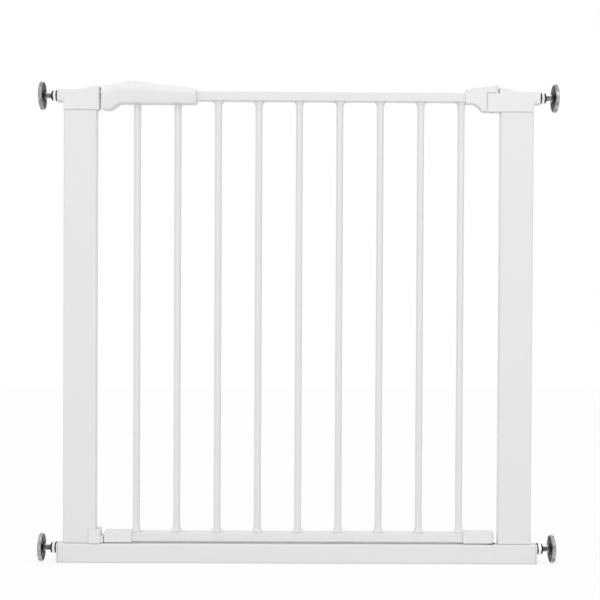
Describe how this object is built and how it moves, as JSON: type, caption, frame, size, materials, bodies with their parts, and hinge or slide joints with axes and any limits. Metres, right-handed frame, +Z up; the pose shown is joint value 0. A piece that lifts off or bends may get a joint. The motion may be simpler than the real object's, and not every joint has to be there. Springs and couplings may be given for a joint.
{
  "type": "safety baby gate",
  "caption": "Pressure-fit steel safety gate: a U frame held between walls by threaded spindles, and a barred door on hinge pins with a spring bolt and a lift-over catch.",
  "frame": {"origin": "the middle of the foot rail's underside, on the floor of the doorway", "axes": "+X across the doorway from the latch side to the hinge side, +Y through the doorway to its back, +Z up"},
  "size_m": [0.766, 0.0416, 0.7134],
  "materials": {
    "white_painted_steel": "smooth satin white powder coat",
    "white_plastic": "satin moulded white plastic",
    "bright_steel": "bright nickel-plated steel",
    "zinc_plated_steel": "zinc-plated pressed steel",
    "spring_steel": "drawn spring wire",
    "black_plastic": "black moulded nylon",
    "grey_rubber": "matt moulded rubber"
  },
  "bodies": {
    "frame": {"foot_rail": "white_painted_steel", "post_left": "white_painted_steel", "post_right": "white_painted_steel", "rail_plug_left": "white_plastic", "rail_plug_right": "white_plastic", "latch_bracket": "white_plastic", "hinge_bracket": "white_plastic", "lower_catch": "white_plastic", "latch_bracket_screw": "bright_steel", "hinge_bracket_screw": "bright_steel", "catch_screw": "bright_steel"},
    "hinge_bush": {"hinge_bush": "black_plastic"},
    "door": {"door_top_rail": "white_painted_steel", "door_low_rail": "white_painted_steel", "bar_1": "white_painted_steel", "bar_2": "white_painted_steel", "bar_3": "white_painted_steel", "bar_4": "white_painted_steel", "bar_5": "white_painted_steel", "bar_6": "white_painted_steel", "bar_7": "white_painted_steel", "bar_8": "white_painted_steel", "bar_9": "white_painted_steel", "latch_end_cap": "white_plastic", "hinge_end_cap": "white_plastic", "upper_hinge_fitting": "white_plastic", "upper_hinge_pin": "bright_steel", "lower_hinge_pin": "bright_steel", "fitting_screw": "bright_steel", "handle_front_shell": "white_plastic", "handle_rear_shell": "white_plastic", "handle_screw_1": "bright_steel", "handle_screw_2": "bright_steel", "latch_spring": "spring_steel"},
    "latch": {"latch_bolt": "white_plastic", "release_slider": "white_plastic"},
    "nut_top_left": {"spindle_nut_top_left": "bright_steel"},
    "spindle_top_left": {"spindle_rod_top_left": "bright_steel"},
    "wall_pad_top_left": {"wall_cup_top_left": "zinc_plated_steel", "rubber_pad_top_left": "grey_rubber"},
    "nut_bottom_left": {"spindle_nut_bottom_left": "bright_steel"},
    "spindle_bottom_left": {"spindle_rod_bottom_left": "bright_steel"},
    "wall_pad_bottom_left": {"wall_cup_bottom_left": "zinc_plated_steel", "rubber_pad_bottom_left": "grey_rubber"},
    "nut_top_right": {"spindle_nut_top_right": "bright_steel"},
    "spindle_top_right": {"spindle_rod_top_right": "bright_steel"},
    "wall_pad_top_right": {"wall_cup_top_right": "zinc_plated_steel", "rubber_pad_top_right": "grey_rubber"},
    "nut_bottom_right": {"spindle_nut_bottom_right": "bright_steel"},
    "spindle_bottom_right": {"spindle_rod_bottom_right": "bright_steel"},
    "wall_pad_bottom_right": {"wall_cup_bottom_right": "zinc_plated_steel", "rubber_pad_bottom_right": "grey_rubber"}
  },
  "joints": [
    {"name": "door_swing", "type": "hinge", "parent": "frame", "child": "hinge_bush", "pos_m": [0.287, 0, 0.0295], "axis": [0, 0, 1], "range_deg": [-90, 90]},
    {"name": "door_lift", "type": "slide", "parent": "hinge_bush", "child": "door", "axis": [0, 0, 1], "range_m": [0, 0.005]},
    {"name": "latch_slide", "type": "slide", "parent": "door", "child": "latch", "axis": [1, 0, 0], "range_m": [0, 0.0105], "stiffness_N_per_m": 250, "springref_m": -0.012, "deforming": ["latch_spring"]},
    {"name": "nut_turn_top_left", "type": "hinge", "parent": "frame", "child": "nut_top_left", "pos_m": [-0.3619, 0, 0.6921], "axis": [1, 0, 0], "range_deg": [-1455, 4335]},
    {"name": "spindle_slide_top_left", "type": "slide", "parent": "frame", "child": "spindle_top_left", "axis": [-1, 0, 0], "range_m": [-0.005, 0.015]},
    {"name": "pad_tilt_top_left", "type": "hinge", "parent": "spindle_top_left", "child": "wall_pad_top_left", "pos_m": [-0.377, 0, 0.6921], "axis": [0, 1, 0], "range_deg": [-7, 7]},
    {"name": "nut_turn_bottom_left", "type": "hinge", "parent": "frame", "child": "nut_bottom_left", "pos_m": [-0.3619, 0, 0.0215], "axis": [1, 0, 0], "range_deg": [-1455, 4335]},
    {"name": "spindle_slide_bottom_left", "type": "slide", "parent": "frame", "child": "spindle_bottom_left", "axis": [-1, 0, 0], "range_m": [-0.005, 0.015]},
    {"name": "pad_tilt_bottom_left", "type": "hinge", "parent": "spindle_bottom_left", "child": "wall_pad_bottom_left", "pos_m": [-0.377, 0, 0.0215], "axis": [0, 1, 0], "range_deg": [-7, 7]},
    {"name": "nut_turn_top_right", "type": "hinge", "parent": "frame", "child": "nut_top_right", "pos_m": [0.3619, 0, 0.6921], "axis": [-1, 0, 0], "range_deg": [-1455, 4335]},
    {"name": "spindle_slide_top_right", "type": "slide", "parent": "frame", "child": "spindle_top_right", "axis": [1, 0, 0], "range_m": [-0.005, 0.015]},
    {"name": "pad_tilt_top_right", "type": "hinge", "parent": "spindle_top_right", "child": "wall_pad_top_right", "pos_m": [0.377, 0, 0.6921], "axis": [0, 1, 0], "range_deg": [-7, 7]},
    {"name": "nut_turn_bottom_right", "type": "hinge", "parent": "frame", "child": "nut_bottom_right", "pos_m": [0.3619, 0, 0.0215], "axis": [-1, 0, 0], "range_deg": [-1455, 4335]},
    {"name": "spindle_slide_bottom_right", "type": "slide", "parent": "frame", "child": "spindle_bottom_right", "axis": [1, 0, 0], "range_m": [-0.005, 0.015]},
    {"name": "pad_tilt_bottom_right", "type": "hinge", "parent": "spindle_bottom_right", "child": "wall_pad_bottom_right", "pos_m": [0.377, 0, 0.0215], "axis": [0, 1, 0], "range_deg": [-7, 7]}
  ],
  "couplings": [
    {"joint": "nut_turn_top_left", "follows": "spindle_slide_top_left", "rad_per_m": 5026.5},
    {"joint": "nut_turn_bottom_left", "follows": "spindle_slide_bottom_left", "rad_per_m": 5026.5},
    {"joint": "nut_turn_top_right", "follows": "spindle_slide_top_right", "rad_per_m": 5026.5},
    {"joint": "nut_turn_bottom_right", "follows": "spindle_slide_bottom_right", "rad_per_m": 5026.5}
  ]
}
